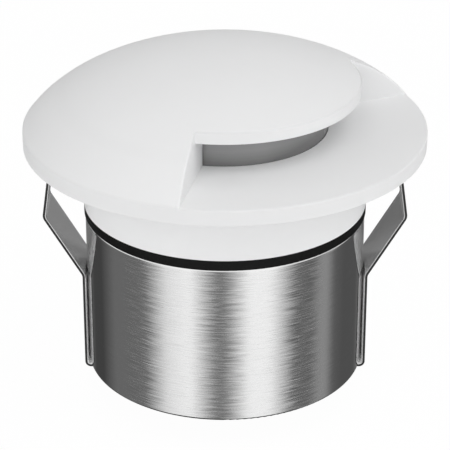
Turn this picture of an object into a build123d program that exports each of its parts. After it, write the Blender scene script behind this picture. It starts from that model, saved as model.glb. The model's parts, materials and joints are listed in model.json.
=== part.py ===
from build123d import *
from math import acos, cos, degrees, isclose, radians, sin, sqrt, tan
import os

# One-way recessed deck light: a domed cover with a hooded side window, screwed into a sealed steel can
# that a sprung strap holds in the deck. Millimetres, +Z up. The origin is the centre of the flange's
# underside, which lies on the deck. The strap's wings are along X and the window opens to the front right.

# Cover casting
flange_d = 64.0
rim_h = 2.45
dome_rise = 11.62
dome_overhang = 2.25
collar_h = 10.47
spigot_l = 7.0
spigot_wall = 1.6
spigot_fit = 0.3
edge_r = 0.3

# Window in the cover
window_start = -102.0
window_arc = 124.0
hood_reach = 5.05
hood_lip = 1.87

# Steel can and its gasket
can_d = 45.0
can_l = 26.8
can_wall = 0.8
can_edge_r = 0.4
can_foot_r = 0.4
base_t = 1.0
base_fit = 0.05
gasket_h = 1.55
gasket_proud = 0.17
gasket_fit = 0.1

# Lens and its seal
lens_ledge = 3.35
ledge_drop = 1.0
lens_fit = 0.1
lens_wall = 1.5
lens_flange_t = 1.4
lens_lap = 0.9
seal_t = 0.8

# Heat sink and light source
sink_t = 3.0
sink_fit = 0.2
boss_h = 2.6
pad_t = 0.3
pad_inset = 0.3
board_t = 1.6
board_fit = 1.25
emitter_count = 6
emitter_w = 3.0
emitter_depth = 2.2
emitter_h = 0.9
emitter_inset = 2.4
emitter_arc = 90.0
board_screw_pitch = 16.0

# Driver
standoff_l = 7.0
standoff_d = 4.0
standoff_pitch = 25.0
standoff_count = 3
driver_d = 31.0
driver_t = 1.6
coil_d = 7.2
coil_h = 6.0
coil_waist = 0.8
coil_flange = 1.0
coil_x = -8.0
capacitor_d = 6.3
capacitor_h = 8.0
capacitor_x = 7.5
chip_w = 5.0
chip_depth = 4.0
chip_h = 1.6
chip_y = -7.5
terminal_w = 10.0
terminal_depth = 6.5
terminal_h = 8.0
terminal_y = 7.0
terminal_port_d = 2.4
terminal_pitch = 5.0
terminal_port_depth = 4.0

# Screws and leads
screw_d = 1.6
screw_head_d = 3.0
screw_head_h = 1.0
screw_grip = 2.0
screw_count = 3
screw_turn = 80.0
hole_fit = 0.15
thread_fit = 0.05
hole_spare = 0.4
slot_w = 0.5
slot_depth = 0.5
lead_d = 1.2
lead_pitch = 2.0
lead_stub = 0.8
lead_hole_d = 4.4
lead_fit = 0.1

# Cable gland
gland_d = 10.0
gland_wall = 1.2
gland_head_flats = 13.0
gland_head_h = 2.5
gland_washer_t = 0.8
gland_washer_w = 1.2
gland_fit = 0.1
gland_nut_flats = 15.0
gland_nut_h = 5.0
gland_nut_lip = 1.0
gland_nut_chamfer = 0.6
cable_gap = 0.3
cable_d = 5.4
gland_seal_l = 4.0

# Spring strap
strap_t = 0.5
strap_w = 9.0
strap_fit = 0.05
strap_eye_d = 20.0
leg_l = 16.93
wing_lean = 30.3
wing_rise = 10.4
wing_bend_r = 1.5
tip_lean = 8.0
tip_rise = 9.0
tip_corner_r = 1.5
hinge_gap = 0.1

# Radii and levels that follow from the sizes above
flange_r = flange_d / 2
can_r = can_d / 2
can_bore_r = can_r - can_wall
collar_r = can_r + gasket_proud
spigot_r = can_bore_r - spigot_fit
spigot_bore_r = spigot_r - spigot_wall
lens_bore_r = spigot_bore_r - lens_ledge
lens_r = lens_bore_r - lens_fit
lens_inner_r = lens_r - lens_wall
hood_r = lens_r + hood_reach
window_mid = window_start + window_arc / 2

dome_a = flange_r + dome_overhang
dome_edge = sqrt(1 - (flange_r / dome_a) ** 2)
dome_b = dome_rise / (1 - dome_edge)
dome_centre = rim_h - dome_b * dome_edge
dome_top = rim_h + dome_rise
rim_angle = degrees(acos(flange_r / dome_a))


def dome_level(radius):
    """Height of the dome's outer skin at a radius from the axis."""
    return dome_centre + dome_b * sqrt(1 - (radius / dome_a) ** 2)


hood_level = dome_level(hood_r) - hood_lip
lens_top = hood_level + lens_lap
lens_bore_top = lens_top + lens_fit
collar_bottom = -collar_h
spigot_bottom = collar_bottom - spigot_l
gasket_bottom = collar_bottom - gasket_h
can_bottom = gasket_bottom - can_l
base_top = can_bottom + base_t

ledge_level = -ledge_drop
seal_bottom = ledge_level - seal_t
sink_top = seal_bottom - lens_flange_t
sink_bottom = sink_top - sink_t
boss_top = sink_top + boss_h
board_bottom = boss_top + pad_t
board_top = board_bottom + board_t
sink_r = spigot_bore_r - sink_fit
board_r = lens_inner_r - board_fit
screw_pitch_r = (lens_r + sink_r) / 2
screw_r = screw_d / 2
screw_hole_r = screw_r + hole_fit
screw_thread_r = screw_r + thread_fit
screw_head_r = screw_head_d / 2
lead_hole_r = lead_d / 2 + lead_fit

driver_top = sink_bottom - standoff_l
driver_bottom = driver_top - driver_t

gland_r = gland_d / 2
gland_bore_r = gland_r - gland_wall
gland_head_bottom = base_top + gland_washer_t
strap_top = can_bottom
strap_bottom = strap_top - strap_t
nut_bottom = strap_bottom - gland_nut_h
gland_bottom = nut_bottom + gland_nut_lip

leg_inner = can_r + strap_fit
leg_outer = leg_inner + strap_t
leg_middle = leg_inner + strap_t / 2
strap_bend_r = can_foot_r + strap_fit
hinge_level = strap_bottom + leg_l
leg_top = hinge_level - strap_t / 2 - hinge_gap

# Where the screws through lens flange, seal and heat sink stand
sink_screws = PolarLocations(screw_pitch_r, screw_count, screw_turn)
board_screws_at = PolarLocations(board_screw_pitch / 2, 2, window_mid + 90)
standoffs_at = PolarLocations(standoff_pitch / 2, standoff_count, 90)
leads_at = GridLocations(lead_pitch, lead_pitch, 2, 1)

os.makedirs("parts", exist_ok=True)


def save(builder, name):
    """Label a finished piece and write it to its own file."""
    builder.part.label = name
    export_step(builder.part, f"parts/{name}.step")


def half_plane(angle):
    """Upright plane through the axis, with its X pointing outwards at an angle."""
    turn = radians(angle)
    return Plane(origin=(0, 0, 0), x_dir=(cos(turn), sin(turn), 0), z_dir=(sin(turn), -cos(turn), 0))


back_plane = half_plane(window_mid + 180)


def pan_screws(places, seat, reach, head_side):
    """Slotted screws: heads on one side of the seat level, shanks reaching the other way."""
    with BuildPart() as group:
        with BuildSketch(Plane.XY.offset(seat)):
            with places:
                Circle(screw_head_r)
        extrude(amount=head_side * screw_head_h)
        with BuildSketch(Plane.XY.offset(seat + head_side * screw_head_h)):
            with places:
                Rectangle(screw_head_d, slot_w)
        extrude(amount=-head_side * slot_depth, mode=Mode.SUBTRACT)
        with BuildSketch(Plane.XY.offset(seat)):
            with places:
                Circle(screw_r)
        extrude(amount=-head_side * reach)
    return group


# Dome cover: dome, rim, collar and spigot in one casting, with the lens bore up its middle
with BuildPart() as dome_cover:
    with BuildSketch(back_plane):
        with BuildLine():
            EllipticalCenterArc((0, dome_centre), dome_a, dome_b, rim_angle, arc_size=90 - rim_angle)
            Polyline(
                (flange_r, rim_h),
                (flange_r, 0),
                (collar_r, 0),
                (collar_r, collar_bottom),
                (spigot_r, collar_bottom),
                (spigot_r, spigot_bottom),
                (spigot_bore_r, spigot_bottom),
                (spigot_bore_r, ledge_level),
                (lens_bore_r, ledge_level),
                (lens_bore_r, lens_bore_top),
                (0, lens_bore_top),
                (0, dome_top),
            )
        make_face()
    revolve(axis=Axis.Z)
    with BuildSketch(half_plane(window_start)):
        with BuildLine():
            Polyline(
                (lens_r, rim_h),
                (dome_a, rim_h),
                (dome_a, dome_top),
                (hood_r, dome_top),
                (hood_r, hood_level),
                (lens_r, hood_level),
                close=True,
            )
        make_face()
    revolve(axis=Axis.Z, revolution_arc=window_arc, mode=Mode.SUBTRACT)
    with BuildSketch(Plane.XY.offset(ledge_level)):
        with sink_screws:
            Circle(screw_thread_r)
    extrude(amount=screw_grip + hole_spare, mode=Mode.SUBTRACT)
    skin_edges = dome_cover.edges().filter_by(GeomType.BSPLINE)
    upper_rounds = dome_cover.edges().filter_by_position(Axis.Z, rim_h, dome_top).filter_by(GeomType.CIRCLE)
    rim_edges = upper_rounds.filter_by(lambda edge: isclose(edge.radius, flange_r))
    fillet(skin_edges + rim_edges, edge_r)
save(dome_cover, "dome_cover")

# Lens cup: frosted cup behind the window, with a flange that the heat sink clamps
with BuildPart() as lens_cup:
    with BuildSketch(back_plane):
        with BuildLine():
            Polyline(
                (0, lens_top),
                (lens_r, lens_top),
                (lens_r, seal_bottom),
                (sink_r, seal_bottom),
                (sink_r, sink_top),
                (lens_inner_r, sink_top),
                (lens_inner_r, lens_top - lens_wall),
                (0, lens_top - lens_wall),
                close=True,
            )
        make_face()
    revolve(axis=Axis.Z)
    with BuildSketch(Plane.XY.offset(sink_top)):
        with sink_screws:
            Circle(screw_hole_r)
    extrude(amount=lens_flange_t, mode=Mode.SUBTRACT)
save(lens_cup, "lens_cup")

# Lens seal: flat ring between the cover's ledge and the lens flange
with BuildPart() as lens_seal:
    with BuildSketch(Plane.XY.offset(seal_bottom)):
        Circle(sink_r)
        Circle(lens_bore_r, mode=Mode.SUBTRACT)
        with sink_screws:
            Circle(screw_hole_r, mode=Mode.SUBTRACT)
    extrude(amount=seal_t)
save(lens_seal, "lens_seal")

# Heat sink: plate that clamps the lens, with a raised boss for the light source
with BuildPart() as heat_sink:
    with BuildSketch(Plane.XY.offset(sink_bottom)):
        Circle(sink_r)
        Circle(lead_hole_d / 2, mode=Mode.SUBTRACT)
        with sink_screws:
            Circle(screw_hole_r, mode=Mode.SUBTRACT)
    extrude(amount=sink_t)
    with BuildSketch(Plane.XY.offset(sink_top)):
        Circle(board_r)
        Circle(lead_hole_d / 2, mode=Mode.SUBTRACT)
    extrude(amount=boss_h)
    with BuildSketch(Plane.XY.offset(boss_top)):
        with board_screws_at:
            Circle(screw_thread_r)
    extrude(amount=-(screw_grip + hole_spare), mode=Mode.SUBTRACT)
    with BuildSketch(Plane.XY.offset(sink_bottom)):
        with standoffs_at:
            Circle(screw_thread_r)
    extrude(amount=screw_grip + hole_spare, mode=Mode.SUBTRACT)
save(heat_sink, "heat_sink")

heat_sink_screws = pan_screws(sink_screws, sink_bottom, sink_t + lens_flange_t + seal_t + screw_grip, -1)
save(heat_sink_screws, "heat_sink_screws")

# Thermal pad under the light source
with BuildPart() as thermal_pad:
    with BuildSketch(Plane.XY.offset(boss_top)):
        Circle(board_r - pad_inset)
        Circle(lead_hole_d / 2, mode=Mode.SUBTRACT)
        with board_screws_at:
            Circle(screw_hole_r, mode=Mode.SUBTRACT)
    extrude(amount=pad_t)
save(thermal_pad, "thermal_pad")

# Light source: round metal-cored board with a row of emitters along the window
with BuildPart() as led_board:
    with BuildSketch(Plane.XY.offset(board_bottom)):
        Circle(board_r)
        with board_screws_at:
            Circle(screw_hole_r, mode=Mode.SUBTRACT)
        with leads_at:
            Circle(lead_hole_r, mode=Mode.SUBTRACT)
    extrude(amount=board_t)
save(led_board, "led_board")

with BuildPart() as led_emitters:
    with BuildSketch(Plane.XY.offset(board_top)):
        with PolarLocations(
            board_r - emitter_inset, emitter_count, window_mid - emitter_arc / 2, emitter_arc, endpoint=True
        ):
            Rectangle(emitter_depth, emitter_w)
    extrude(amount=emitter_h)
save(led_emitters, "led_emitters")

board_screws = pan_screws(board_screws_at, board_top, board_t + pad_t + screw_grip, 1)
save(board_screws, "board_screws")

# Leads from the driver up through the heat sink, soldered at both boards
with BuildPart() as led_leads:
    with BuildSketch(Plane.XY.offset(driver_bottom - lead_stub)):
        with leads_at:
            Circle(lead_d / 2)
    extrude(amount=board_top - driver_bottom + 2 * lead_stub)
save(led_leads, "led_leads")

# Driver: round board hung below the heat sink on hexagonal standoffs
with BuildPart() as driver_standoffs:
    with BuildSketch(Plane.XY.offset(driver_top)):
        with standoffs_at:
            RegularPolygon(standoff_d / 2, 6, major_radius=False)
            Circle(screw_thread_r, mode=Mode.SUBTRACT)
    extrude(amount=screw_grip + hole_spare)
    with BuildSketch(Plane.XY.offset(driver_top + screw_grip + hole_spare)):
        with standoffs_at:
            RegularPolygon(standoff_d / 2, 6, major_radius=False)
    extrude(amount=standoff_l - screw_grip - hole_spare)
    with BuildSketch(Plane.XY.offset(sink_bottom)):
        with standoffs_at:
            Circle(screw_r)
    extrude(amount=screw_grip)
save(driver_standoffs, "driver_standoffs")

with BuildPart() as driver_board:
    with BuildSketch(Plane.XY.offset(driver_bottom)):
        Circle(driver_d / 2)
        with standoffs_at:
            Circle(screw_hole_r, mode=Mode.SUBTRACT)
        with leads_at:
            Circle(lead_hole_r, mode=Mode.SUBTRACT)
    extrude(amount=driver_t)
save(driver_board, "driver_board")

driver_screws = pan_screws(standoffs_at, driver_bottom, driver_t + screw_grip, -1)
save(driver_screws, "driver_screws")

# Driver coil: drum with a waist that holds its winding
with BuildPart() as driver_coil:
    with BuildSketch(Plane.XY.offset(driver_bottom)):
        with Locations((coil_x, 0)):
            Circle(coil_d / 2)
    extrude(amount=-coil_h)
    with BuildSketch(Plane.XY.offset(driver_bottom - coil_flange)):
        with Locations((coil_x, 0)):
            Circle(coil_d / 2)
            Circle(coil_d / 2 - coil_waist, mode=Mode.SUBTRACT)
    extrude(amount=-(coil_h - 2 * coil_flange), mode=Mode.SUBTRACT)
save(driver_coil, "driver_coil")

with BuildPart() as driver_capacitor:
    with BuildSketch(Plane.XY.offset(driver_bottom)):
        with Locations((capacitor_x, 0)):
            Circle(capacitor_d / 2)
    extrude(amount=-capacitor_h)
save(driver_capacitor, "driver_capacitor")

with BuildPart() as driver_chip:
    with BuildSketch(Plane.XY.offset(driver_bottom)):
        with Locations((0, chip_y)):
            Rectangle(chip_w, chip_depth)
    extrude(amount=-chip_h)
save(driver_chip, "driver_chip")

# Terminal block: takes the two cores of the supply cable from below
with BuildPart() as terminal_block:
    with BuildSketch(Plane.XY.offset(driver_bottom)):
        with Locations((0, terminal_y)):
            Rectangle(terminal_w, terminal_depth)
    extrude(amount=-terminal_h)
    with BuildSketch(Plane.XY.offset(driver_bottom - terminal_h)):
        with Locations((0, terminal_y)):
            with GridLocations(terminal_pitch, terminal_pitch, 2, 1):
                Circle(terminal_port_d / 2)
    extrude(amount=terminal_port_depth, mode=Mode.SUBTRACT)
save(terminal_block, "terminal_block")

# Main gasket: black ring squeezed between the collar and the can
with BuildPart() as main_gasket:
    with BuildSketch(Plane.XY.offset(gasket_bottom)):
        Circle(collar_r)
        Circle(spigot_r + gasket_fit, mode=Mode.SUBTRACT)
    extrude(amount=gasket_h)
save(main_gasket, "main_gasket")

# Can: brushed tube with rounded outer edges, and a base plate set into it
with BuildPart() as can_tube:
    with BuildSketch(Plane.XY.offset(can_bottom)):
        Circle(can_r)
        Circle(can_bore_r, mode=Mode.SUBTRACT)
    extrude(amount=can_l)
    ends = can_tube.edges().filter_by(GeomType.CIRCLE).filter_by(lambda edge: isclose(edge.radius, can_r))
    foot_edge, upper_edge = ends.sort_by(Axis.Z)
    fillet(upper_edge, can_edge_r)
    fillet(foot_edge, can_foot_r)
save(can_tube, "can_tube")

with BuildPart() as can_base:
    with BuildSketch(Plane.XY.offset(can_bottom)):
        Circle(can_bore_r - base_fit)
        Circle(gland_r + gland_fit, mode=Mode.SUBTRACT)
    extrude(amount=base_t)
save(can_base, "can_base")

# Cable gland: body with its head inside the can, washer, rubber seal and a cap nut that clamps the strap
with BuildPart() as gland_body:
    with BuildSketch(Plane.XY.offset(gland_head_bottom)):
        RegularPolygon(gland_head_flats / 2, 6, major_radius=False)
    extrude(amount=gland_head_h)
    with BuildSketch(Plane.XY.offset(gland_bottom)):
        Circle(gland_r)
    extrude(amount=gland_head_bottom - gland_bottom)
    with BuildSketch(Plane.XY.offset(gland_bottom)):
        Circle(gland_bore_r)
    extrude(amount=gland_head_bottom + gland_head_h - gland_bottom, mode=Mode.SUBTRACT)
save(gland_body, "gland_body")

with BuildPart() as gland_washer:
    with BuildSketch(Plane.XY.offset(base_top)):
        Circle(gland_r + gland_fit + gland_washer_w)
        Circle(gland_r + gland_fit, mode=Mode.SUBTRACT)
    extrude(amount=gland_washer_t)
save(gland_washer, "gland_washer")

with BuildPart() as gland_seal:
    with BuildSketch(Plane.XY.offset(gland_bottom)):
        Circle(gland_bore_r - gland_fit)
        Circle(cable_d / 2, mode=Mode.SUBTRACT)
    extrude(amount=gland_seal_l)
save(gland_seal, "gland_seal")

with BuildPart() as gland_nut:
    with BuildSketch(Plane.XY.offset(nut_bottom)):
        RegularPolygon(gland_nut_flats / 2, 6, major_radius=False)
        Circle(cable_d / 2 + cable_gap, mode=Mode.SUBTRACT)
    extrude(amount=gland_nut_h)
    with BuildSketch(Plane.XY.offset(gland_bottom)):
        Circle(gland_r + thread_fit)
    extrude(amount=gland_nut_h, mode=Mode.SUBTRACT)
    chamfer(gland_nut.edges().group_by(Axis.Z)[0].filter_by(GeomType.LINE), gland_nut_chamfer)
save(gland_nut, "gland_nut")

# Spring strap: one bent strip, its base under the can and its legs flat on the can's sides
with BuildPart() as spring_strap:
    with BuildSketch(Plane.XZ):
        with Locations((0, (leg_top + strap_bottom) / 2)):
            Rectangle(2 * leg_outer, leg_top - strap_bottom)
        fillet(vertices().group_by(Axis.Y)[0], strap_bend_r + strap_t)
    extrude(amount=strap_w / 2, both=True)
    with BuildSketch(Plane.XZ):
        with Locations((0, (leg_top + strap_top) / 2)):
            Rectangle(2 * leg_inner, leg_top - strap_top)
        fillet(vertices().group_by(Axis.Y)[0], strap_bend_r)
    extrude(amount=strap_w / 2, both=True, mode=Mode.SUBTRACT)
    with BuildSketch(Plane.XY.offset(strap_bottom)):
        Circle(strap_eye_d / 2)
    extrude(amount=strap_t)
    with BuildSketch(Plane.XY.offset(strap_bottom)):
        Circle(gland_r + gland_fit)
    extrude(amount=strap_t, mode=Mode.SUBTRACT)
save(spring_strap, "spring_strap")

# Wings: the strip's sprung ends, leaning out to grip the deck and turned in at the tips
bend_x = leg_middle + wing_rise * tan(radians(wing_lean))
bend_level = hinge_level + wing_rise
tip_x = bend_x - tip_rise * tan(radians(tip_lean))
tip_level = bend_level + tip_rise
with BuildPart() as spring_wing_right:
    with BuildLine(Plane.XZ) as wing_line:
        FilletPolyline((leg_middle, hinge_level), (bend_x, bend_level), (tip_x, tip_level), radius=wing_bend_r)
    with BuildSketch(Plane(origin=wing_line.line @ 0, x_dir=(0, 1, 0), z_dir=wing_line.line % 0)):
        Rectangle(strap_w, strap_t)
    sweep()
    with BuildSketch(Plane.XZ):
        with Locations((leg_middle, hinge_level)):
            Circle(strap_t / 2)
    extrude(amount=strap_w / 2, both=True)
    tip_corners = spring_wing_right.edges().filter_by(lambda edge: isclose(edge.length, strap_t))
    fillet(tip_corners, tip_corner_r)
save(spring_wing_right, "spring_wing_right")

with BuildPart() as spring_wing_left:
    mirror(spring_wing_right.part, about=Plane.YZ)
save(spring_wing_left, "spring_wing_left")
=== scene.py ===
import json
import math

import bmesh
import bpy
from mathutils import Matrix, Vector


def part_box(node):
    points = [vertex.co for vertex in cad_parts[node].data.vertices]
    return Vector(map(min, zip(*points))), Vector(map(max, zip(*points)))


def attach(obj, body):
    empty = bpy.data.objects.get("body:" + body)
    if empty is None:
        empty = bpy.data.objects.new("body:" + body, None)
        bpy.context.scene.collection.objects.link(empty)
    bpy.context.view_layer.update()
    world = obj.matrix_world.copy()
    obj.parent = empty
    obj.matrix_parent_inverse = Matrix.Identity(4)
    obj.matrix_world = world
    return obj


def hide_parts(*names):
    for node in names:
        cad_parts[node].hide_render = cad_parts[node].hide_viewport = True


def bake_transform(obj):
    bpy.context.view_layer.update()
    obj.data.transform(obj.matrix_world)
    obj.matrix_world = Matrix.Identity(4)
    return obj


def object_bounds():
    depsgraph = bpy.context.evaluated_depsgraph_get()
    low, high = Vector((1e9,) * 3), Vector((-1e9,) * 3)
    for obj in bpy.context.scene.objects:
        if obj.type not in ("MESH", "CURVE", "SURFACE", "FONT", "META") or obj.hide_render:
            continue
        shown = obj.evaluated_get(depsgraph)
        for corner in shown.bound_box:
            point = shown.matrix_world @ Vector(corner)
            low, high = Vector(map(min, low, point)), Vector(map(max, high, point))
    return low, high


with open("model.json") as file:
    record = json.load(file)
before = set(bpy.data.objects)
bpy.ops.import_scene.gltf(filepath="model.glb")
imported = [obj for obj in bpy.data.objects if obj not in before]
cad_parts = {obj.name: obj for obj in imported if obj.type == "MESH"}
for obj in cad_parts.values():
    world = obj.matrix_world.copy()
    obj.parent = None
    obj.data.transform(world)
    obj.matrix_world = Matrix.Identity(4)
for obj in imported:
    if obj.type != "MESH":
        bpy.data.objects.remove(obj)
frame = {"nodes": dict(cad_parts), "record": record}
cad_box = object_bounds()

MM = 0.001

# Camera: the photograph's own view, fitted to the rim, collar, gasket and can
VIEW_ELEVATION = 26.185
VIEW_DISTANCE = 341.9 * MM
VIEW_AIM_LEVEL = -15.5 * MM
VIEW_SENSOR = 36.0
VIEW_LENS = 168.68
VIEW_NEAR = 10 * MM
VIEW_FAR = 20.0

# How often light is followed from one glossy or matt surface to the next
GLOSSY_BOUNCES = 12
DIFFUSE_BOUNCES = 8

# Floor: its level, half width, whiteness, the share of it that glows where it is seen, and the light that it
# gives off
FLOOR_LEVEL = cad_box[0].z
FLOOR_HALF = 3.0
FLOOR_WHITE = 0.95
FLOOR_GLOW = 0.97
FLOOR_LIGHT = 0.135

# Lamps: bearing from the front, elevation, and the brightness each gives a white surface that faces it
LAMP_DISTANCE = 0.9
LAMP_SIZE = 1.0
LAMPS = {
    "front_lamp": (0, 45, 0.515),
    "low_front_lamp": (0, 5, 0.251),
    "left_lamp": (-80, 20, 0.354),
    "high_left_lamp": (-85, 45, 0.090),
    "right_lamp": (80, 20, 0.115),
    "high_right_lamp": (85, 45, 0.488),
    "back_lamp": (180, 45, 0.272),
}

# Studio flags that only reflections see, from far to near: start and end bearing from the front, how many
# degrees each of these edges takes to fade, elevation of the upper edge, and brightness
FLAGS = {
    "rear_right_flag": (140, 182, 8, 55, 0.39),
    "rear_left_flag": (165, 220, 8, 55, 0.22),
    "left_pale_flag": (-66, -43, 24, 5, 0.77),
    "left_flag": (-150, -59, 18, 5, 0.142),
    "left_dark_flag": (-150, -114, 20, 5, 0.055),
    "middle_flag": (-17.5, 9.5, 20, 5, 0.15),
    "right_flag": (48.75, 150, 21.5, 5, 0.125),
    "right_strip": (80, 98.5, 9, 5, 0.28),
    "right_dark_flag": (104, 150, 24, 5, 0.082),
}
FLAG_DISTANCE = 5.0
FLAG_SPACING = 0.1
FLAG_DEPTH = 6.0
FLAG_STEP = 2
UNDER_FLAG_LEVEL = 0.03

# Thin veil above the lower flags: how many degrees the flag takes to thin to it, the elevation of its upper
# edge, and the share of light that it takes
VEIL_SOFT = 6
VEIL_TOP = 50
VEIL_SHARE = 0.25

# Powder coat: grains and clouds to a metre, how far the painted shade on the rim and the painted light on
# the collar reach, the levels between which painted shade grows on the lip's edge, where it sets in and ends
# as that edge faces more upwards, and the tone of each of these places
COAT_GRAINS = 3000
COAT_CLOUDS = 90
COAT_FADE = 0.3 * MM
LIP_FADE = (7 * MM, 9 * MM)
LIP_LEAST_UPWARD = (0.1, 0.3)
LIP_MOST_UPWARD = (0.8, 0.88)
RIM_TONE = -0.37
COLLAR_TONE = 0.12
LIP_TONE = -0.4

# Lens: level of its foot, the recess floor, how far up the painted shade at its foot reaches, where painted
# shade darkens it towards its ends, the tone of each of these places, the spacing of its turning lines, and
# its grains to a metre
LENS_FOOT = 2.45 * MM
LENS_FADE = 2.4 * MM
LENS_LEFT_FADE = (-4 * MM, 5 * MM)
LENS_RIGHT_FADE = (6 * MM, 18 * MM)
LENS_TOP_TONE = 0.9
LENS_LEFT_TONE = -0.3
LENS_RIGHT_TONE = -0.95
LENS_LINE = 0.25 * MM
LENS_GRAINS = 9000

# Brushed can: the middle value of a noise, how far the can's rounded upper and lower edges show on its wall,
# the size of a streak, how far the second set of streaks is from the first, and how much it tips the surface
NOISE_MIDDLE = 0.5
CAN_TOP_EDGE = 0.6 * MM
CAN_FOOT_EDGE = 0.45 * MM
STREAK_LENGTH = 4.5 * MM
STREAK_HEIGHT = 0.18 * MM
STREAK_OFFSET = 50
STREAK_TIP = 0.16

# Lines to a metre of the other metals: along and across the rolled strip and the brushed plate, and round
# what was turned
STRIP_LINES = (120, 7000)
PLATE_LINES = (90, 6000)
TURNED_RINGS = 5000

# Spring strip: how far back it reaches, its thickness, its bends, and the crown of its inner side
STRIP_BACK = 5.44 * MM
STRIP_T = 0.5 * MM
STRIP_BEND_R = 1.5 * MM
BASE_BEND_R = 0.45 * MM
BEND_STEPS = 8
WING_LEAN = 30.3
WING_RISE = 10.4 * MM
TIP_LEAN = 8.0
TIP_RISE = 9.0 * MM
TIP_CORNER_R = 1.5 * MM
EYE_R = 10.0 * MM
EYE_HOLE_R = 5.1 * MM
HINGE_REACH = 0.5 * MM
STRIP_ROWS = 6
EYE_STEPS = 24
INSIDE_CROWN_R = 8 * MM

# The strip's sheared edges, which are bright next to the can and torn beyond, with painted shade on the torn
# half, and the order of its materials
EDGE_BRIGHT = 0.13 * MM
EDGE_TAPER = 0.04 * MM
EDGE_ROUNDING = 0.05 * MM
EDGE_SEGMENTS = 2
OUTER_FACE, TORN_EDGE, INNER_FACE = range(3)


def link(obj):
    bpy.context.scene.collection.objects.link(obj)
    return obj


def add_camera():
    data = bpy.data.cameras.new("camera")
    data.sensor_width = VIEW_SENSOR
    data.lens = VIEW_LENS
    data.clip_start = VIEW_NEAR
    data.clip_end = VIEW_FAR
    camera = link(bpy.data.objects.new("camera", data))
    rise = math.radians(VIEW_ELEVATION)
    back = Vector((0, -math.cos(rise), math.sin(rise)))
    camera.location = Vector((0, 0, VIEW_AIM_LEVEL)) + back * VIEW_DISTANCE
    camera.rotation_euler = (-back).to_track_quat("-Z", "Y").to_euler()
    bpy.context.scene.camera = camera


def direction(bearing, elevation):
    """Unit vector from the object: bearing from the front (-Y) towards +X, elevation above the floor."""
    turn, rise = math.radians(bearing), math.radians(elevation)
    return Vector((math.sin(turn) * math.cos(rise), -math.cos(turn) * math.cos(rise), math.sin(rise)))


def square(half, level):
    """Corners of a level square round the axis."""
    return [(x, y, level) for x, y in ((-half, -half), (half, -half), (half, half), (-half, half))]


def add_lamp(name, bearing, elevation, share):
    """Square softbox aimed at the object, which reflections don't see."""
    data = bpy.data.lights.new(name, "AREA")
    data.shape = "SQUARE"
    data.size = LAMP_SIZE
    data.energy = share * (math.pi * LAMP_DISTANCE) ** 2
    lamp = link(bpy.data.objects.new(name, data))
    outward = direction(bearing, elevation)
    lamp.location = outward * LAMP_DISTANCE
    lamp.rotation_euler = (-outward).to_track_quat("-Z", "Y").to_euler()
    lamp.visible_glossy = False


def seen_directly(tree):
    """Socket that is 1 for rays that show the background: from the camera, off metal and through glass."""
    path = tree.nodes.new("ShaderNodeLightPath")
    seen = path.outputs["Is Camera Ray"]
    for kind in ("Is Glossy Ray", "Is Transmission Ray"):
        either = tree.nodes.new("ShaderNodeMath")
        either.operation = "MAXIMUM"
        tree.links.new(seen, either.inputs[0])
        tree.links.new(path.outputs[kind], either.inputs[1])
        seen = either.outputs[0]
    return seen


def add_backdrop():
    """World that is white where it is seen, and otherwise gives no light."""
    world = bpy.data.worlds.new("studio")
    bpy.context.scene.world = world
    world.use_nodes = True
    tree = world.node_tree
    tree.nodes.clear()
    backdrop = tree.nodes.new("ShaderNodeBackground")
    backdrop.inputs["Color"].default_value = (1, 1, 1, 1)
    output = tree.nodes.new("ShaderNodeOutputWorld")
    tree.links.new(seen_directly(tree), backdrop.inputs["Strength"])
    tree.links.new(backdrop.outputs[0], output.inputs["Surface"])


def floor_material():
    """White light table: it glows where it is seen, over a matt white that takes the shadow. It is clear
    from below."""
    material = bpy.data.materials.new("studio_floor")
    material.use_nodes = True
    tree = material.node_tree
    tree.nodes.clear()
    matt = tree.nodes.new("ShaderNodeBsdfDiffuse")
    matt.inputs["Color"].default_value = (FLOOR_WHITE, FLOOR_WHITE, FLOOR_WHITE, 1)
    glow = tree.nodes.new("ShaderNodeEmission")
    glow.inputs["Color"].default_value = (1, 1, 1, 1)
    share = tree.nodes.new("ShaderNodeMath")
    share.operation = "MULTIPLY"
    share.inputs[1].default_value = FLOOR_GLOW
    light = tree.nodes.new("ShaderNodeEmission")
    light.inputs["Strength"].default_value = FLOOR_LIGHT
    lit = tree.nodes.new("ShaderNodeAddShader")
    white = tree.nodes.new("ShaderNodeMixShader")
    side = tree.nodes.new("ShaderNodeNewGeometry")
    clear = tree.nodes.new("ShaderNodeBsdfTransparent")
    either = tree.nodes.new("ShaderNodeMixShader")
    output = tree.nodes.new("ShaderNodeOutputMaterial")
    tree.links.new(seen_directly(tree), share.inputs[0])
    tree.links.new(share.outputs[0], white.inputs[0])
    tree.links.new(matt.outputs[0], lit.inputs[0])
    tree.links.new(light.outputs[0], lit.inputs[1])
    tree.links.new(lit.outputs[0], white.inputs[1])
    tree.links.new(glow.outputs[0], white.inputs[2])
    tree.links.new(side.outputs["Backfacing"], either.inputs[0])
    tree.links.new(white.outputs[0], either.inputs[1])
    tree.links.new(clear.outputs[0], either.inputs[2])
    tree.links.new(either.outputs[0], output.inputs["Surface"])
    return material


def add_floor():
    mesh = bpy.data.meshes.new("floor")
    mesh.from_pydata(square(FLOOR_HALF, FLOOR_LEVEL), [], [(0, 1, 2, 3)])
    mesh.materials.append(floor_material())
    floor = link(bpy.data.objects.new("floor", mesh))
    floor.visible_glossy = False


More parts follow.
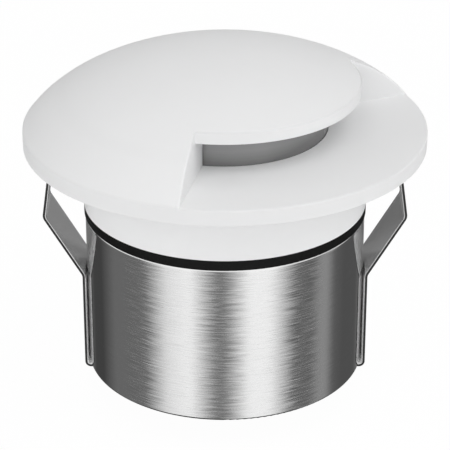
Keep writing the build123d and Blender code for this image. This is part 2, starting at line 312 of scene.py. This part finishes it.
def flag_material(name, level):
    """Grey that reflections see, clear where the flag's fade is 0."""
    material = bpy.data.materials.new(name)
    material.use_nodes = True
    tree = material.node_tree
    tree.nodes.clear()
    grey_light = tree.nodes.new("ShaderNodeEmission")
    grey_light.inputs["Color"].default_value = (level, level, level, 1)
    clear = tree.nodes.new("ShaderNodeBsdfTransparent")
    fade = tree.nodes.new("ShaderNodeAttribute")
    fade.attribute_name = "fade"
    mix = tree.nodes.new("ShaderNodeMixShader")
    output = tree.nodes.new("ShaderNodeOutputMaterial")
    tree.links.new(fade.outputs["Fac"], mix.inputs[0])
    tree.links.new(clear.outputs[0], mix.inputs[1])
    tree.links.new(grey_light.outputs[0], mix.inputs[2])
    tree.links.new(mix.outputs[0], output.inputs["Surface"])
    return material


def add_flag(name, points, faces, fades, level):
    """Stage sheet that only reflections see."""
    mesh = bpy.data.meshes.new(name)
    mesh.from_pydata(points, [], faces)
    mesh.attributes.new("fade", "FLOAT", "POINT").data.foreach_set("value", fades)
    mesh.materials.append(flag_material(name, level))
    flag = link(bpy.data.objects.new(name, mesh))
    flag.visible_camera = False
    flag.visible_diffuse = False
    flag.visible_shadow = False
    flag.visible_transmission = False


def limited(share):
    return min(1.0, max(0.0, share))


def add_upright_flag(name, distance, start, end, soft, top, level):
    """Upright sheet bent round the object, with soft ends, and a thin veil above it where it is low."""
    first, last = start - soft / 2, end + soft / 2
    edges = [(top, 1.0)]
    if top < VEIL_TOP:
        edges += [(top + VEIL_SOFT, VEIL_SHARE), (VEIL_TOP, VEIL_SHARE)]
    rows = [(distance * math.tan(math.radians(elevation)), share) for elevation, share in edges]
    rows.insert(0, (-FLAG_DEPTH, 1.0))
    steps = math.ceil((last - first) / FLAG_STEP)
    points, fades = [], []
    for k in range(steps + 1):
        bearing = first + (last - first) * k / steps
        foot = direction(bearing, 0) * distance
        fade = limited((bearing - first) / soft) * limited((last - bearing) / soft)
        points += [foot + Vector((0, 0, rise)) for rise, _ in rows]
        fades += [fade * share for _, share in rows]
    count = len(rows)
    faces = [
        (count * k + row, count * (k + 1) + row, count * (k + 1) + row + 1, count * k + row + 1)
        for k in range(steps) for row in range(count - 1)
    ]
    add_flag(name, points, faces, fades, level)


def add_flags():
    for k, (name, shape) in enumerate(FLAGS.items()):
        add_upright_flag(name, FLAG_DISTANCE - k * FLAG_SPACING, *shape)
    corners = square(FLAG_DISTANCE, -FLAG_DEPTH)
    add_flag("under_flag", corners, [(0, 1, 2, 3)], [1.0] * len(corners), UNDER_FLAG_LEVEL)


def add_studio():
    add_camera()
    add_backdrop()
    add_floor()
    add_flags()
    for name, (bearing, elevation, share) in LAMPS.items():
        add_lamp(name, bearing, elevation, share)


class Shader:
    """A material with one Principled shader, and short ways to add nodes to it."""

    def __init__(self, name, colour, roughness, metallic=0.0):
        self.material = bpy.data.materials.new(name)
        self.material.use_nodes = True
        self.tree = self.material.node_tree
        self.surface = self.tree.nodes["Principled BSDF"]
        self.set("Base Color", (*colour, 1))
        self.set("Roughness", roughness)
        self.set("Metallic", metallic)

    def set(self, socket, value):
        self.surface.inputs[socket].default_value = value

    def drive(self, socket, source):
        self.join(source, self.surface.inputs[socket])

    def node(self, kind, **settings):
        made = self.tree.nodes.new(kind)
        for key, value in settings.items():
            setattr(made, key, value)
        return made

    def join(self, source, target):
        self.tree.links.new(source, target)

    def fill(self, made, values):
        for socket, value in zip(made.inputs, values):
            if isinstance(value, bpy.types.NodeSocket):
                self.join(value, socket)
            elif value is not None:
                socket.default_value = value

    def place(self):
        return self.node("ShaderNodeTexCoord").outputs["Object"]

    def normal(self):
        return self.node("ShaderNodeNewGeometry").outputs["Normal"]

    def math(self, operation, first, second=None):
        made = self.node("ShaderNodeMath", operation=operation)
        self.fill(made, (first, second))
        return made.outputs[0]

    def sum(self, first, *others):
        for other in others:
            first = self.math("ADD", first, other)
        return first

    def times(self, first, second):
        return self.math("MULTIPLY", first, second)

    def over(self, first, second):
        return self.math("DIVIDE", first, second)

    def squared(self, value):
        return self.math("POWER", value, 2.0)

    def reach(self, x, y):
        """Distance from the axis."""
        return self.math("SQRT", self.sum(self.squared(x), self.squared(y)))

    def vector_math(self, operation, first, second=None):
        made = self.node("ShaderNodeVectorMath", operation=operation)
        self.fill(made, (first, second))
        return made.outputs["Vector"]

    def scaled(self, vector, factor):
        made = self.node("ShaderNodeVectorMath", operation="SCALE")
        self.join(vector, made.inputs[0])
        self.join(factor, made.inputs["Scale"])
        return made.outputs["Vector"]

    def to_world(self, normal):
        made = self.node("ShaderNodeVectorTransform", vector_type="NORMAL")
        made.convert_from = "OBJECT"
        made.convert_to = "WORLD"
        self.join(normal, made.inputs[0])
        return made.outputs[0]

    def axes(self, vector):
        made = self.node("ShaderNodeSeparateXYZ")
        self.join(vector, made.inputs[0])
        return made.outputs

    def vector(self, x, y, z):
        made = self.node("ShaderNodeCombineXYZ")
        self.fill(made, (x, y, z))
        return made.outputs[0]

    def noise(self, vector, scale=1.0, detail=3.0):
        """Noise with so many cells to each unit of the vector, a metre where it is a place."""
        made = self.node("ShaderNodeTexNoise")
        made.inputs["Scale"].default_value = scale
        made.inputs["Detail"].default_value = detail
        self.join(vector, made.inputs["Vector"])
        return made.outputs["Fac"]

    def spread(self, value, low, high, start=0.0, end=1.0):
        """Maps the range from start to end to the range from low to high, and keeps within it."""
        made = self.node("ShaderNodeMapRange")
        made.inputs["From Min"].default_value = start
        made.inputs["From Max"].default_value = end
        made.inputs["To Min"].default_value = low
        made.inputs["To Max"].default_value = high
        self.join(value, made.inputs["Value"])
        return made.outputs["Result"]

    def tint(self, value, dark, light):
        """Base colour that runs from dark to light with a 0 to 1 value."""
        made = self.node("ShaderNodeMix", data_type="RGBA")
        colours = [socket for socket in made.inputs if socket.type == "RGBA"]
        colours[0].default_value = (*dark, 1)
        colours[1].default_value = (*light, 1)
        self.join(value, made.inputs["Factor"])
        self.drive("Base Color", [socket for socket in made.outputs if socket.type == "RGBA"][0])

    def bump(self, height, depth, strength):
        made = self.node("ShaderNodeBump")
        made.inputs["Distance"].default_value = depth
        made.inputs["Strength"].default_value = strength
        self.join(height, made.inputs["Height"])
        self.drive("Normal", made.outputs["Normal"])

    def tip(self, normal, push):
        """Drives the shader's normal with this one, tipped by a push."""
        tipped = self.vector_math("ADD", normal, push)
        self.drive("Normal", self.vector_math("NORMALIZE", tipped))


def grey(level):
    return (level, level, level)


def shaded(colour, factor):
    return tuple(min(1.0, part * factor) for part in colour)


def powder_coat():
    """White satin powder coat: a fine even grain, and slow changes of tone too weak to see as spots. Painted
    shade darkens the rim and the lip's upper edge, and painted light lightens the collar under the flange."""
    shader = Shader("powder_coat", grey(0.86), roughness=0.55)
    shader.set("Specular IOR Level", 0.12)
    place = shader.place()
    x, y, height = shader.axes(place)
    flange_r = cad_box[1].x
    clouds = shader.spread(shader.noise(place, COAT_CLOUDS), 0.52, 0.68)
    # Painted shade on the rim's outer face, and painted light on the collar below the flange
    rim = shader.spread(shader.reach(x, y), 0.0, RIM_TONE, flange_r - COAT_FADE, flange_r)
    collar = shader.spread(height, COLLAR_TONE, 0.0, -COAT_FADE, 0.0)
    # Painted shade on the lip's rounded upper edge, which dims the highlight it catches
    upward = shader.axes(shader.normal())[2]
    least = shader.spread(upward, 0.0, 1.0, *LIP_LEAST_UPWARD)
    most = shader.spread(upward, 1.0, 0.0, *LIP_MOST_UPWARD)
    lip = shader.times(shader.times(least, most), shader.spread(height, 0.0, LIP_TONE, *LIP_FADE))
    tone = shader.sum(clouds, rim, collar, lip)
    shader.tint(tone, (0.798, 0.8, 0.803), (0.928, 0.93, 0.933))
    grain = shader.noise(place, COAT_GRAINS, detail=2)
    shader.drive("Roughness", shader.spread(grain, 0.58, 0.72))
    shader.bump(grain, depth=0.02 * MM, strength=0.3)
    return shader.material


def frosted_lens():
    """Grey frosted polycarbonate with a smooth skin that mirrors the pale recess in front of it. Painted
    shade darkens it towards the foot and the ends, and faint turning lines run round it."""
    shader = Shader("frosted_lens", grey(0.2), roughness=0.2)
    shader.set("IOR", 1.6)
    shader.set("Specular IOR Level", 1.0)
    place = shader.place()
    x, _, height = shader.axes(place)
    # Painted shade: darker towards the foot and both ends, lighter towards the top
    rise = shader.spread(height, 0.0, LENS_TOP_TONE, LENS_FOOT, LENS_FOOT + LENS_FADE)
    left_end = shader.spread(x, LENS_LEFT_TONE, 0.0, *LENS_LEFT_FADE)
    right_end = shader.spread(x, 0.0, LENS_RIGHT_TONE, *LENS_RIGHT_FADE)
    lines = shader.noise(shader.vector(0.0, 0.0, shader.over(height, LENS_LINE)), detail=2)
    tone = shader.sum(rise, left_end, right_end, shader.spread(lines, -0.1, 0.2))
    shader.tint(tone, grey(0.155), grey(0.285))
    grain = shader.noise(place, LENS_GRAINS, detail=2)
    shader.drive("Roughness", shader.spread(grain, 0.17, 0.23))
    return shader.material


def rubber(name, colour, shine=0.25):
    """Matt moulded rubber with a fine grain and a dusty bloom."""
    shader = Shader(name, colour, roughness=0.6)
    shader.set("Specular IOR Level", shine)
    place = shader.place()
    grain = shader.noise(place, scale=2600)
    bloom = shader.noise(place, scale=420)
    shader.tint(bloom, shaded(colour, 0.75), shaded(colour, 1.3))
    shader.drive("Roughness", shader.spread(grain, 0.5, 0.72))
    shader.bump(grain, depth=0.03 * MM, strength=0.4)
    return shader.material


def brushed_can():
    """Stainless tube brushed round its axis. One set of fine streaks differs in roughness and tint. Another
    tips the surface a little sideways, so that the edges of what the can mirrors fray. The sides, under the
    strap, are smoother. The normal is worked out from the place on the can, because the facets of its rounds
    would show."""
    shader = Shader("brushed_can", grey(0.85), roughness=0.28, metallic=1.0)
    low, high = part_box("can_tube")
    x, y, height = shader.axes(shader.place())
    upper = shader.spread(height, 0.0, 1.0, high.z - CAN_TOP_EDGE, high.z)
    lower = shader.spread(height, 1.0, 0.0, low.z, low.z + CAN_FOOT_EDGE)
    rise = shader.math("SUBTRACT", upper, lower)
    run = shader.math("SQRT", shader.math("SUBTRACT", 1.0, shader.squared(rise)))
    level = shader.vector_math("NORMALIZE", shader.vector(x, y, 0.0))
    smooth = shader.vector_math("ADD", shader.scaled(level, run), shader.vector(0.0, 0.0, rise))
    frontal = shader.math("ABSOLUTE", shader.axes(smooth)[1])
    wall = shader.spread(shader.math("ABSOLUTE", rise), 1.0, 0.0, start=0.02, end=0.2)
    depth = shader.times(shader.spread(frontal, 0.25, 1.0, start=0.69, end=0.77), wall)
    around = shader.times(shader.math("ARCTAN2", y, x), high.x)
    grid = shader.vector(shader.over(around, STREAK_LENGTH), shader.over(height, STREAK_HEIGHT), 0.0)
    other_grid = shader.vector_math("ADD", grid, (0, 0, STREAK_OFFSET))
    cut, other_cut = [
        shader.times(shader.math("SUBTRACT", shader.noise(cells, detail=2), NOISE_MIDDLE), depth)
        for cells in (grid, other_grid)
    ]
    streak = shader.sum(cut, NOISE_MIDDLE)
    shader.tint(shader.spread(streak, 0.0, 1.0, start=0.25, end=0.75), grey(0.755), grey(1.0))
    front_blur = shader.spread(frontal, 0.07, 0.21, start=0.55, end=0.75)
    blur = shader.times(front_blur, shader.spread(wall, 0.25, 1.0))
    shader.drive("Roughness", shader.times(blur, shader.spread(streak, 0.3, 1.7, start=0.3, end=0.7)))
    facing = shader.to_world(smooth)
    sideways = shader.vector_math("CROSS_PRODUCT", (0, 0, 1), facing)
    shader.tip(facing, shader.scaled(sideways, shader.times(other_cut, STREAK_TIP)))
    shader.drive("Tangent", shader.node("ShaderNodeTangent", direction_type="RADIAL", axis="Z").outputs[0])
    shader.set("Anisotropic", 0.3)
    shader.set("Anisotropic Rotation", 0.25)
    return shader.material


def rolled_strip():
    """Spring steel strip with rolling lines along its length."""
    shader = Shader("rolled_strip", grey(0.8), roughness=0.22, metallic=1.0)
    x, y, z = shader.axes(shader.place())
    along, across = STRIP_LINES
    grid = shader.vector(shader.times(x, along), shader.times(y, across), shader.times(z, along))
    lines = shader.noise(grid)
    shader.tint(lines, grey(0.79), grey(0.89))
    shader.drive("Roughness", shader.spread(lines, 0.18, 0.28))
    shader.bump(lines, depth=0.004 * MM, strength=0.35)
    return shader.material


def pickled_inside():
    """Inner side of the strap's legs and base: a pale matt copy of the strip steel that stands in for light
    in the gap beside the can, and crowned.
    """
    shader = Shader("pickled_inside", grey(0.85), roughness=0.6)
    place = shader.place()
    grain = shader.noise(place, scale=4000)
    shader.tint(grain, grey(0.8), grey(0.9))
    shader.drive("Roughness", shader.spread(grain, 0.5, 0.7))
    lean = shader.over(shader.axes(place)[1], INSIDE_CROWN_R)
    shader.tip(shader.normal(), shader.vector(0.0, lean, 0.0))
    return shader.material


def torn_edge():
    """Torn half of the strip's sheared edges: rough, with a fine grain, and near black, which is painted
    shade.
    """
    shader = Shader("torn_edge", grey(0.05), roughness=0.6, metallic=0.6)
    shader.set("Specular IOR Level", 0.3)
    grain = shader.noise(shader.place(), scale=9000)
    shader.tint(grain, grey(0.03), grey(0.07))
    shader.drive("Roughness", shader.spread(grain, 0.5, 0.75))
    shader.bump(grain, depth=0.01 * MM, strength=0.4)
    return shader.material


def brushed_plate():
    """Stainless plate brushed straight, along X."""
    shader = Shader("brushed_plate", grey(0.6), roughness=0.32, metallic=1.0)
    x, y, z = shader.axes(shader.place())
    along, across = PLATE_LINES
    lines = shader.noise(shader.vector(shader.times(x, along), shader.times(y, across), z))
    shader.tint(lines, grey(0.5), grey(0.68))
    shader.drive("Roughness", shader.spread(lines, 0.25, 0.42))
    shader.bump(lines, depth=0.004 * MM, strength=0.35)
    return shader.material


def turned_metal(name, colour, roughness=0.3):
    """Turned or plated metal: faint tool rings round the axis and slow changes of tone."""
    shader = Shader(name, colour, roughness, metallic=1.0)
    place = shader.place()
    x, y, z = shader.axes(place)
    outward = shader.times(shader.reach(x, y), TURNED_RINGS)
    rings = shader.noise(shader.vector(outward, 0.0, shader.times(z, TURNED_RINGS)), detail=2)
    shader.tint(shader.noise(place, scale=300), shaded(colour, 0.85), shaded(colour, 1.08))
    shader.drive("Roughness", shader.spread(rings, roughness - 0.08, roughness + 0.1))
    shader.bump(rings, depth=0.005 * MM, strength=0.3)
    return shader.material


def moulded(name, colour, roughness=0.5):
    """Moulded or coated plastic with a fine grain."""
    shader = Shader(name, colour, roughness)
    place = shader.place()
    grain = shader.noise(place, scale=2200)
    shader.tint(shader.noise(place, scale=350, detail=2), shaded(colour, 0.88), shaded(colour, 1.08))
    shader.drive("Roughness", shader.spread(grain, roughness - 0.08, roughness + 0.1))
    shader.bump(grain, depth=0.015 * MM, strength=0.3)
    return shader.material


def make_finishes():
    """One material for each material slot of the record."""
    return {
        "cover_coat": powder_coat(),
        "lens": frosted_lens(),
        "gasket_rubber": rubber("gasket_rubber", grey(0.004), 0.22),
        "can_steel": brushed_can(),
        "strap_steel": rolled_strip(),
        "base_steel": brushed_plate(),
        "seal_silicone": rubber("seal_silicone", (0.5, 0.16, 0.09)),
        "pad": rubber("thermal_pad", (0.3, 0.3, 0.34)),
        "lead": rubber("lead_sleeve", grey(0.03)),
        "sink_aluminium": turned_metal("sink_aluminium", (0.8, 0.81, 0.82)),
        "screw_steel": turned_metal("screw_steel", grey(0.6)),
        "brass": turned_metal("standoff_brass", (0.75, 0.58, 0.28)),
        "gland_nickel": turned_metal("gland_nickel", (0.66, 0.64, 0.58)),
        "capacitor": turned_metal("capacitor_can", (0.6, 0.62, 0.65), 0.35),
        "led_board": moulded("solder_mask_white", (0.8, 0.81, 0.79)),
        "emitter": moulded("emitter_phosphor", (0.85, 0.7, 0.2), 0.3),
        "driver_board": moulded("solder_mask_green", (0.02, 0.13, 0.05), 0.35),
        "component": moulded("component_black", (0.02, 0.02, 0.022)),
        "terminal": moulded("terminal_green", (0.05, 0.2, 0.09), 0.4),
    }


class Sheet:
    """Middle surface of a thin strip: points with their normals, and the faces between them."""

    def __init__(self):
        self.points = []
        self.normals = []
        self.faces = []

    def add(self, point, normal):
        self.points.append(Vector(point))
        self.normals.append(Vector(normal))
        return len(self.points) - 1

    def add_row(self, station, side, widths):
        """Row of points across the strip at a station of its path, right (1) or left (-1) of the axis."""
        x, z, normal_x, normal_z = station
        return [self.add((side * x, y, z), (side * normal_x, 0, normal_z)) for y in widths]

    def join_rows(self, first, second):
        for k in range(len(first) - 1):
            self.faces.append((first[k], first[k + 1], second[k + 1], second[k]))

    def rim(self):
        """Edges that only one face has, each with that face."""
        uses = {}
        for face in self.faces:
            for a, b in zip(face, face[1:] + face[:1]):
                uses.setdefault(frozenset((a, b)), []).append((a, b, face))
        return [found[0] for found in uses.values() if len(found) == 1]

    def outward(self, edges):
        """Unit direction out of the sheet at each end of these rim edges."""
        pushes = {}
        for a, b, face in edges:
            along = (self.points[b] - self.points[a]).normalized()
            centre = sum((self.points[k] for k in face), Vector()) / len(face)
            away = (self.points[a] + self.points[b]) / 2 - centre
            push = (away - along * away.dot(along)).normalized()
            for k in (a, b):
                pushes[k] = pushes.get(k, Vector()) + push
        return {k: push.normalized() for k, push in pushes.items()}

    def solid(self, name, cut_rows):
        """Closed mesh of the strip's thickness with sheared edges, except where it was cut to meet the next
        piece. Upper is the side towards the can."""
        block = bmesh.new()
        half = STRIP_T / 2
        rim = self.rim()
        sheared = [edge for edge in rim if not any(edge[0] in row and edge[1] in row for row in cut_rows)]
        out = self.outward(sheared)
        upper, lower, middle = [], [], {}
        for k, (point, normal) in enumerate(zip(self.points, self.normals)):
            inset = out.get(k, Vector()) * EDGE_TAPER
            upper.append(block.verts.new(point + normal * half - inset))
            lower.append(block.verts.new(point - normal * half))
            if k in out:
                middle[k] = block.verts.new(point + normal * (half - EDGE_BRIGHT))
        for face in self.faces:
            block.faces.new([upper[k] for k in face]).material_index = INNER_FACE
            block.faces.new([lower[k] for k in reversed(face)]).material_index = OUTER_FACE
        rounded = []
        for edge in rim:
            a, b = edge[:2]
            if edge in sheared:
                block.faces.new((upper[a], middle[a], middle[b], upper[b])).material_index = OUTER_FACE
                # The torn half takes the near-black painted shade
                block.faces.new((middle[a], lower[a], lower[b], middle[b])).material_index = TORN_EDGE
                rounded += [block.edges.get((skin[a], skin[b])) for skin in (upper, lower)]
            else:
                ends = [[upper[k], *([middle[k]] if k in middle else []), lower[k]] for k in (a, b)]
                block.faces.new(ends[0] + ends[1][::-1])
        bmesh.ops.recalc_face_normals(block, faces=block.faces)
        bmesh.ops.bevel(
            block, geom=rounded, offset=EDGE_ROUNDING, segments=EDGE_SEGMENTS, profile=0.5, affect="EDGES",
            material=-1,
        )
        for face in block.faces:
            face.smooth = True
        mesh = bpy.data.meshes.new(name)
        block.to_mesh(mesh)
        block.free()
        return mesh


def bent_path(corners, radii):
    """Stations (x, z, normal x, normal z) along a line through corners in the XZ plane. Each corner between
    its ends is an arc."""
    corners = [Vector(corner) for corner in corners]
    runs = [(b - a).normalized() for a, b in zip(corners, corners[1:])]
    stations = [(*corners[0], -runs[0].y, runs[0].x)]
    for corner, before, after, radius in zip(corners[1:], runs, runs[1:], radii):
        turn = before.angle_signed(after)
        side = -math.copysign(1, turn)
        start = corner - before * radius * math.tan(abs(turn) / 2)
        normal = Vector((-before.y, before.x))
        centre = start + normal * side * radius
        for k in range(BEND_STEPS + 1):
            angle = -turn * k / BEND_STEPS
            here = Vector((
                normal.x * math.cos(angle) - normal.y * math.sin(angle),
                normal.x * math.sin(angle) + normal.y * math.cos(angle),
            ))
            stations.append((*(centre - here * side * radius), *here))
    stations.append((*corners[-1], -runs[-1].y, runs[-1].x))
    return stations


def strip_object(name, sheet, cut_rows, materials):
    """Object of the strip, with normals that follow its large faces."""
    obj = link(bpy.data.objects.new(name, sheet.solid(name, cut_rows)))
    for material in materials:
        obj.data.materials.append(material)
    even = obj.modifiers.new("even_normals", "WEIGHTED_NORMAL")
    even.keep_sharp = False
    bpy.context.view_layer.update()
    evaluated = obj.evaluated_get(bpy.context.evaluated_depsgraph_get())
    even_mesh = bpy.data.meshes.new_from_object(evaluated)
    obj.modifiers.clear()
    obj.data = even_mesh
    obj.data.name = name
    return obj


def stepped(start, end, steps):
    return [start + (end - start) * k / steps for k in range(steps + 1)]


def hinge_place(side):
    """X and level of the hinge on the right (1) or left (-1) of the axis."""
    for joint in frame["record"]["behaviour"]["joints"]:
        if joint["pos_m"][0] * side > 0:
            return joint["pos_m"][0], joint["pos_m"][2]


def add_strap_band(materials):
    """The strap's fixed part: an eye under the can, and a leg up each side of it."""
    strip_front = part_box("spring_wing_right")[0].y
    leg_x, hinge_level = hinge_place(1)
    base_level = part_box("spring_strap")[0].z + STRIP_T / 2
    corners = [(0, base_level), (leg_x, base_level), (leg_x, hinge_level - HINGE_REACH)]
    path = bent_path(corners, [BASE_BEND_R + STRIP_T / 2])
    right_turns = [math.asin(y / EYE_R) for y in stepped(strip_front, STRIP_BACK, STRIP_ROWS)]
    left_turns = [math.pi - turn for turn in reversed(right_turns)]
    back_turns = stepped(right_turns[-1], left_turns[0], EYE_STEPS)[1:-1]
    front_turns = stepped(left_turns[-1], right_turns[0] + 2 * math.pi, EYE_STEPS)[1:-1]
    turns = right_turns + back_turns + left_turns + front_turns
    sheet = Sheet()
    up = (0, 0, 1)
    hole, ring = [
        [sheet.add((radius * math.cos(turn), radius * math.sin(turn), base_level), up) for turn in turns]
        for radius in (EYE_HOLE_R, EYE_R)
    ]
    sheet.join_rows(hole + hole[:1], ring + ring[:1])
    cut_rows = []
    for side, first in ((1, 0), (-1, len(right_turns + back_turns))):
        row = ring[first:first + STRIP_ROWS + 1]
        widths = [sheet.points[k].y for k in row]
        for station in path[1:]:
            following = sheet.add_row(station, side, widths)
            sheet.join_rows(row, following)
            row = following
        cut_rows.append(row)
    band = strip_object("strap_band", sheet, cut_rows, materials)
    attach(band, "housing")
    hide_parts("spring_strap")


def add_strap_arm(side, body, node, materials):
    """One sprung end of the strap: it bends out from the leg, and its tip turns in again."""
    strip_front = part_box(node)[0].y
    hinge_x, hinge_level = hinge_place(side)
    leg_x = abs(hinge_x)
    bend = (leg_x + WING_RISE * math.tan(math.radians(WING_LEAN)), hinge_level + WING_RISE)
    tip = (bend[0] - TIP_RISE * math.tan(math.radians(TIP_LEAN)), bend[1] + TIP_RISE)
    corners = [(leg_x, hinge_level - HINGE_REACH), (leg_x, hinge_level), bend, tip]
    path = bent_path(corners, [STRIP_BEND_R, STRIP_BEND_R])
    end = path.pop()
    back = (Vector(bend) - Vector(tip)).normalized()
    sheet = Sheet()
    widths = stepped(strip_front, STRIP_BACK, STRIP_ROWS)
    rows = [sheet.add_row(station, side, widths) for station in path]
    rounds = []
    for k in range(BEND_STEPS + 1):
        turn = math.pi / 2 * k / BEND_STEPS
        inset = TIP_CORNER_R * (1 - math.sin(turn))
        cut = TIP_CORNER_R * (1 - math.cos(turn))
        station = (*(Vector(end[:2]) + back * inset), *end[2:])
        if k == 0:
            rows.append(sheet.add_row(station, side, widths))
        else:
            rounds.append(sheet.add_row(station, side, (strip_front + cut, STRIP_BACK - cut)))
    for first, second in zip(rows, rows[1:]):
        sheet.join_rows(first, second)
    fronts, backs = zip(*rounds)
    sheet.faces.append((*rows[-1], *backs, *reversed(fronts)))
    arm = strip_object(f"strap_arm_{body.split('_')[0]}", sheet, rows[:1], materials)
    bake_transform(arm)
    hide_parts(node)


def dress_cad(finishes):
    """Give every CAD node the finish of its material slot."""
    for subpart in frame["record"]["subparts"]:
        mesh = frame["nodes"][subpart["node"]].data
        mesh.materials.clear()
        mesh.materials.append(finishes[subpart["material_slot"]])


bpy.context.scene.view_settings.view_transform = "Standard"
bpy.context.scene.cycles.glossy_bounces = GLOSSY_BOUNCES
bpy.context.scene.cycles.diffuse_bounces = DIFFUSE_BOUNCES
add_studio()
finishes = make_finishes()
dress_cad(finishes)
# The torn edge's near-black tone is painted shade
steel, torn = finishes["strap_steel"], torn_edge()
# The inside's pale matt copy of the steel stands in for light in the gap beside the can
add_strap_band((steel, torn, pickled_inside()))
add_strap_arm(-1, "left_wing", "spring_wing_left", (steel, torn, steel))
add_strap_arm(1, "right_wing", "spring_wing_right", (steel, torn, steel))
